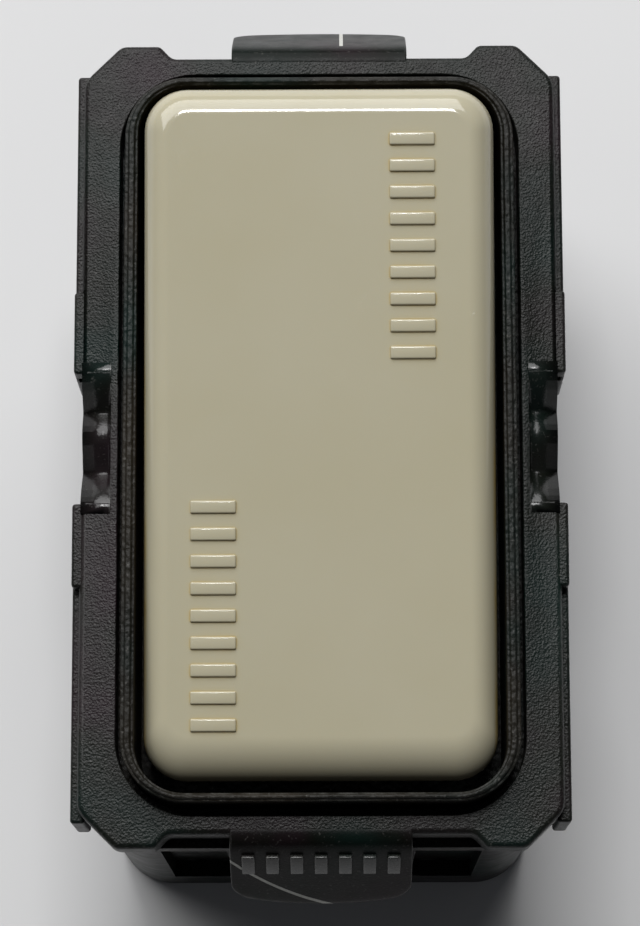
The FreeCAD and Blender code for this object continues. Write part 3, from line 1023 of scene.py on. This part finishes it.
def makeWell():
    look = wellLook
    trayBottom = wellLow.z
    rimTop = flangeBottom
    rimBottom = rimTop - look["rimThickness"]
    top = wellHigh.z
    rim = (wellHigh.x, wellHigh.y, look["rimCorner"])
    outerLip, lipTop, lipEnd, innerLip = look["lipShares"]
    lipFoot, innerTop = top - look["lipDrop"], top - look["innerLipDrop"]
    slot = (look["slotHalfWidth"], look["slotHalfLength"], look["slotCorner"])
    loops = [
        roundedLoop(*slot, trayBottom, look["cornerSteps"]),
        wellLoop(0, trayBottom),
        wellLoop(0, rimBottom),
        roundedLoop(*rim, rimBottom, look["cornerSteps"]),
        roundedLoop(*rim, rimTop, look["cornerSteps"]),
        wellLoop(0, rimTop),
        wellLoop(0, lipFoot),
        wellLoop(outerLip, lipFoot),
        wellLoop(lipTop, top),
        wellLoop(lipEnd, top),
        wellLoop(innerLip, innerTop),
        wellLoop(1, innerTop),
        wellLoop(1, trayBottom + look["floorThickness"]),
        roundedLoop(*slot, trayBottom + look["floorThickness"], look["cornerSteps"]),
    ]
    tray = bmesh.new()
    addLoops(tray, loops, wrap=True)
    well = makePiece("rockerWell", tray, "housing", collarBlack)
    softenEdges(well, look["softness"], 3, 40)
    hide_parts("rocker_well")
    postLow, postHigh = trayBottom + look["postFoot"], pivot.z + look["postRise"]
    for side, name in ((1, "axlePostRight"), (-1, "axlePostLeft")):
        post = bmesh.new()
        ends = sorted((side * look["postInner"], side * look["postOuter"]))
        addBoredLug(post, ends, look["postHalfWidth"], postLow, postHigh, look["postBore"])
        makePiece(name, post, "housing", collarBlack)


makeWell()
print("well and collar made")


# front frame: a flat ring with ears, and blocks, ledges, notches and tongues joined to it
snapFrameLook = {
    "halfWidth": 11.62 * mm,
    "chamferY": 18.1 * mm,
    "earOuterX": 9.8 * mm,
    "earInnerX": 7.89 * mm,
    "recessX": 7.29 * mm,
    "earY": 19.9 * mm,
    "recessY": 19.25 * mm,
    "cornerRounds": (0.6 * mm, 0.4 * mm, 0.7 * mm, 1.2 * mm),
    "cornerSteps": 5,
    "windowHalfWidth": 9.8 * mm,
    "windowHalfLength": 18.35 * mm,
    "windowCorner": 3.7 * mm,
    "windowSteps": 14,
    "softness": 0.3 * mm,
    "windowShare": 0.25,
}
notchLook = {
    "innerX": 10.15 * mm,
    "halfLength": 3.22 * mm,
    # how far in from the side, and the share of the full drop there
    "scoop": ((0, 0.0), (0.02, 0.4), (0.06, 0.7), (0.13, 0.9), (0.24, 0.98), (0.4, 1.0), (1.44, 1.0)),
    # place along Y and drop below the flange's face, in millimetres
    "drops": (
        (3.75, -0.01), (3.35, -0.01), (3.1, 0.03), (2.8, 0.14), (2.4, 0.4), (1.95, 0.8), (1.6, 1.15),
        (1.5, 1.22), (1.42, 1.2), (1.1, 0.98), (0.75, 0.76), (0.45, 0.66), (0.15, 0.66), (-0.2, 0.78),
        (-0.8, 1.1), (-1.36, 1.38), (-1.47, 1.41), (-1.57, 1.36), (-2.0, 0.92), (-2.5, 0.42),
        (-2.9, 0.12), (-3.15, 0.02), (-3.35, -0.01), (-3.75, -0.01),
    ),
}
sideLook = {
    "innerX": 11.3 * mm,
    "ledgeHalfLength": 18.6 * mm,
    "ledgeBottom": 18.6 * mm,
    "ledgeDrop": 1.0 * mm,
    "blockInner": 3.22 * mm,
    "blockOuter": 7.32 * mm,
    "blockDrop": 0.1 * mm,
    "softness": 0.16 * mm,
}


def addFlangeRing(cage):
    look = snapFrameLook
    corners = [
        (0, look["recessY"]),
        (look["recessX"], look["recessY"]),
        (look["earInnerX"], look["earY"]),
        (look["earOuterX"], look["earY"]),
        (look["halfWidth"], look["chamferY"]),
        (look["halfWidth"], notchLook["halfLength"]),
    ]
    quarter = roundCorners(corners, look["cornerRounds"], look["cornerSteps"])
    quarter.append((notchLook["innerX"], notchLook["halfLength"]))
    outerRight = quarter + [(x, -y) for x, y in reversed(quarter)]
    window = roundedLoop(
        look["windowHalfWidth"], look["windowHalfLength"], look["windowCorner"], 0, look["windowSteps"]
    )
    cornerPoints = [(point.x, point.y) for point in window if point.x > 0 and point.y > 0]
    cornerPoints.sort(key=lambda point: point[0])
    innerRight = [(0, look["windowHalfLength"])] + cornerPoints
    innerRight += [(x, -y) for x, y in reversed(innerRight)]
    known = {}

    def vertexAt(x, y, z):
        key = (round(x, 8), round(y, 8), z)
        if key not in known:
            known[key] = cage.verts.new(key)
        return known[key]

    low, high = flangeBottom, flangeTop
    for side in (1, -1):
        outline = outerRight + list(reversed(innerRight))
        for level in (low, high):
            cage.faces.new([vertexAt(side * x, y, level) for x, y in outline])
        for points in (outerRight, innerRight):
            for (x0, y0), (x1, y1) in zip(points, points[1:]):
                wall = ((x0, y0, low), (x1, y1, low), (x1, y1, high), (x0, y0, high))
                cage.faces.new([vertexAt(side * x, y, z) for x, y, z in wall])


def makeFlange():
    cage = bmesh.new()
    addFlangeRing(cage)
    flange = makePiece("snapFrame", cage, "housing", frameBlack)
    softenEdges(flange, snapFrameLook["softness"], 4, 35)
    flange.modifiers["softEdges"].limit_method = "WEIGHT"
    softness = flange.data.attributes.new("bevel_weight_edge", "FLOAT", "EDGE")
    points = flange.data.vertices
    for edge in flange.data.edges:
        start, end = (points[i].co for i in edge.vertices)
        if start.z != end.z or max(abs(start.x), abs(end.x)) < tiny:
            continue
        middle = (start + end) / 2
        inWindow = abs(middle.x) < snapFrameLook["windowHalfWidth"] + tiny
        inWindow = inWindow and abs(middle.y) < snapFrameLook["windowHalfLength"] + tiny
        atNotch = abs(middle.y) < notchLook["halfLength"] + tiny
        softness.data[edge.index].value = snapFrameLook["windowShare"] if inWindow else float(not atNotch)
    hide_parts("front_frame")


def makeNotches():
    # each notch is scooped out towards the side: two valleys with a rounded ridge between them
    cage = bmesh.new()
    drops = notchLook["drops"]
    for side in (1, -1):
        loops = []
        for along, share in notchLook["scoop"]:
            x = side * (notchLook["innerX"] + along * mm)
            fall = [drop * mm * (share if drop > 0 else 1) for y, drop in drops]
            loop = [Vector((x, y * mm, flangeTop - down)) for (y, drop), down in zip(drops, fall)]
            loop += [Vector((x, y * mm, flangeBottom)) for y in (drops[-1][0], drops[0][0])]
            loops.append(loop)
        addLoops(cage, loops, capFirst=True, capLast=True)
    notches = makePiece("frameNotches", cage, "housing", glossBlack)
    evenOutShading(notches, 60)


def makeSides():
    look = sideLook
    cage = bmesh.new()
    for side in (1, -1):
        ends = sorted((side * look["innerX"], side * frameHigh.x))
        for end in (1, -1):
            alongY = sorted((end * look["blockInner"], end * look["ledgeHalfLength"]))
            low = Vector((ends[0], alongY[0], look["ledgeBottom"]))
            high = Vector((ends[1], alongY[1], flangeTop - look["ledgeDrop"]))
            addBox(cage, low, high)
            alongY = sorted((end * look["blockInner"], end * look["blockOuter"]))
            low = Vector((ends[0], alongY[0], flangeBottom))
            high = Vector((ends[1], alongY[1], flangeTop - look["blockDrop"]))
            addBox(cage, low, high)
    sides = makePiece("frameSides", cage, "housing", frameBlack)
    softenEdges(sides, look["softness"], 4, 35)


# snap tongue: slices across its width, each pulled back up the slope to round its corners and bow its lip
tongueLook = {
    "halfWidth": 4.37 * mm,
    "slope": (  # distance out along Y and drop below the flange's face, both in millimetres
        (18.4, -0.01), (19.3, -0.01), (19.62, 0.1), (19.95, 0.5), (20.4, 1.4), (21.2, 3.05), (21.95, 4.6),
        (22.17, 5.05), (22.18, 5.32), (22.0, 5.4), (21.5, 5.3), (20.75, 4.2), (20.2, 2.7), (19.75, 2.2),
        (18.4, 2.2),
    ),
    "slices": (-1, -0.985, -0.93, -0.86, -0.77, -0.5, 0, 0.5, 0.77, 0.86, 0.93, 0.985, 1),
    "bow": 0.9 * mm,
    "cornerStart": 0.77,
    "cornerRound": 1.15 * mm,
    "slopeWay": (0.41, 0.91),
    "slopeStart": 19.9 * mm,
    "slopeEnd": 22.18 * mm,
    "ribs": 7,
    "ribPitch": 1.16 * mm,
    "ribLow": (20.12, 0.86),
    "ribHigh": (20.78, 2.2),
    "ribHeight": 0.2,
    "ribSunk": 0.1,
    "ribHalfWidth": 0.31 * mm,
    "ribSoftness": 0.05 * mm,
}


def addTongue(cage, end):
    look = tongueLook
    loops = []
    for share in look["slices"]:
        intoCorner = max(0, (abs(share) - look["cornerStart"]) / (1 - look["cornerStart"]))
        pull = look["bow"] * share ** 2 + look["cornerRound"] * (1 - math.sqrt(max(0, 1 - intoCorner ** 2)))
        loop = []
        for y, drop in look["slope"]:
            depth = (y * mm - look["slopeStart"]) / (look["slopeEnd"] - look["slopeStart"])
            depth = min(1, max(0, depth))
            back, up = (way * pull * depth for way in look["slopeWay"])
            outward, level = y * mm - back, flangeTop - drop * mm + up
            loop.append(Vector((share * look["halfWidth"], end * outward, level)))
        loops.append(loop)
    addLoops(cage, loops, capFirst=True, capLast=True)


def makeTongues():
    cage = bmesh.new()
    for end in (1, -1):
        addTongue(cage, end)
    tongues = makePiece("snapTongues", cage, "housing", smoothBlack)
    smoothCage(tongues, 2)

    # plain grip ribs across the tongue at the lower end
    look = tongueLook
    low, high = Vector(look["ribLow"]), Vector(look["ribHigh"])
    out = Vector((high.y - low.y, low.x - high.x)).normalized()
    sunk, height = out * look["ribSunk"], out * look["ribHeight"]
    section = [low - sunk, high - sunk, high + height, low + height]
    profile = [(-point.x * mm, flangeTop - point.y * mm) for point in section]
    start = -look["ribPitch"] * (look["ribs"] - 1) / 2
    rib = bmesh.new()
    addProfileAlongX(rib, profile, start - look["ribHalfWidth"], start + look["ribHalfWidth"])
    ribs = makePiece("tongueRibs", rib, "housing", glossBlack)
    easeEdges(ribs, look["ribSoftness"], 3)
    repeatInRow(ribs, look["ribs"], (look["ribPitch"], 0, 0))


makeFlange()
makeNotches()
makeSides()
makeTongues()
print("front frame made")

# camera, floor and light
viewLook = {
    "place": (0.93 * mm, -34.1 * mm, 187.78 * mm),
    "turn": (11.345, 0.319, -0.206),
    "lens": 133.9,
    "sensor": 36,
    "nearest": 0.01,
}
camera = bpy.data.objects.new("camera", bpy.data.cameras.new("camera"))
camera.data.lens = viewLook["lens"]
camera.data.sensor_width = viewLook["sensor"]
camera.data.clip_start = viewLook["nearest"]
camera.location = viewLook["place"]
camera.rotation_mode = "ZYX"
camera.rotation_euler = [math.radians(angle) for angle in viewLook["turn"]]
bpy.context.scene.collection.objects.link(camera)
bpy.context.scene.camera = camera


def paleFloorFinish():
    material = bpy.data.materials.new("paleFloor")
    material.use_nodes = True
    nodes, links = material.node_tree.nodes, material.node_tree.links
    surface = nodes["Principled BSDF"]
    surface.inputs["Roughness"].default_value = 0.7
    coords = nodes.new("ShaderNodeTexCoord")
    coords.label = "floor coordinates"
    coords.location = (-900, 200)
    clouds = nodes.new("ShaderNodeTexNoise")
    clouds.label = "very faint clouding"
    clouds.location = (-700, 200)
    clouds.inputs["Scale"].default_value = 18
    paleColors = nodes.new("ShaderNodeValToRGB")
    paleColors.label = "pale greys"
    paleColors.location = (-450, 200)
    setStops(paleColors, (0, (0.5, 0.5, 0.505, 1)), (1, (0.6, 0.6, 0.6, 1)))
    links.new(coords.outputs["Object"], clouds.inputs["Vector"])
    links.new(clouds.outputs["Fac"], paleColors.inputs["Fac"])
    links.new(paleColors.outputs["Color"], surface.inputs["Base Color"])
    return material


floorMesh = bpy.data.meshes.new("floor")
floorReach = 3
floorCorners = [(x * floorReach, y * floorReach, 0) for x, y in ((-1, -1), (1, -1), (1, 1), (-1, 1))]
floorMesh.from_pydata(floorCorners, [], [(0, 1, 2, 3)])
floorMesh.materials.append(paleFloorFinish())
floor = bpy.data.objects.new("floor", floorMesh)
bpy.context.scene.collection.objects.link(floor)

lightLook = {
    "windowStrip": {"place": (-0.01, 0.19, 0.5), "size": (0.15, 0.075), "watts": 1.25},
    "skyPanel": {"place": (-0.2, 0.6, 0.6), "size": (1.1, 0.75), "watts": 11.6},
}
aim = Vector((0, 0, flangeTop))
for name, look in lightLook.items():
    lamp = bpy.data.lights.new(name, "AREA")
    lamp.shape = "RECTANGLE"
    lamp.size, lamp.size_y = look["size"]
    lamp.energy = look["watts"]
    holder = bpy.data.objects.new(name, lamp)
    holder.location = look["place"]
    holder.rotation_euler = (aim - holder.location).to_track_quat("-Z", "Y").to_euler()
    bpy.context.scene.collection.objects.link(holder)

studioLook = {"color": (0.9, 0.93, 1.0, 1), "strength": 0.06}
world = bpy.data.worlds.new("studio")
world.use_nodes = True
background = world.node_tree.nodes["Background"]
background.inputs["Color"].default_value = studioLook["color"]
background.inputs["Strength"].default_value = studioLook["strength"]
bpy.context.scene.world = world
bpy.context.scene.view_settings.view_transform = "Standard"
print("camera, floor and light made")
